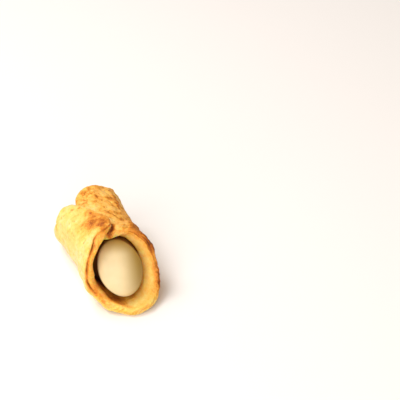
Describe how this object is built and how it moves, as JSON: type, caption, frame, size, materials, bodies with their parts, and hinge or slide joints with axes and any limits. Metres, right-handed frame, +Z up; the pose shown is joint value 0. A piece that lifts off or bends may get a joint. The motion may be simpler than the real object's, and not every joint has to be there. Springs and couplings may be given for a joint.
{
  "type": "pistachio cannolo",
  "caption": "Small rolled tube of blistered fried pastry with overlapping flaps and flared lips, filled from mouth to mouth with smooth pale cream.",
  "frame": {"origin": "middle of the flat resting spot, on the surface the pastry lies on, below the centre of its box", "axes": "+Z up, +Y along the tube from the front mouth to the back mouth, +X to the right seen from the front mouth"},
  "size_m": [0.0284, 0.0583, 0.0279],
  "materials": {
    "pastry": "dry, blistered, golden fried dough",
    "pistachio_cream": "smooth, soft, satin"
  },
  "bodies": {
    "root": {"shell": "pastry", "cream": "pistachio_cream"}
  },
  "joints": []
}
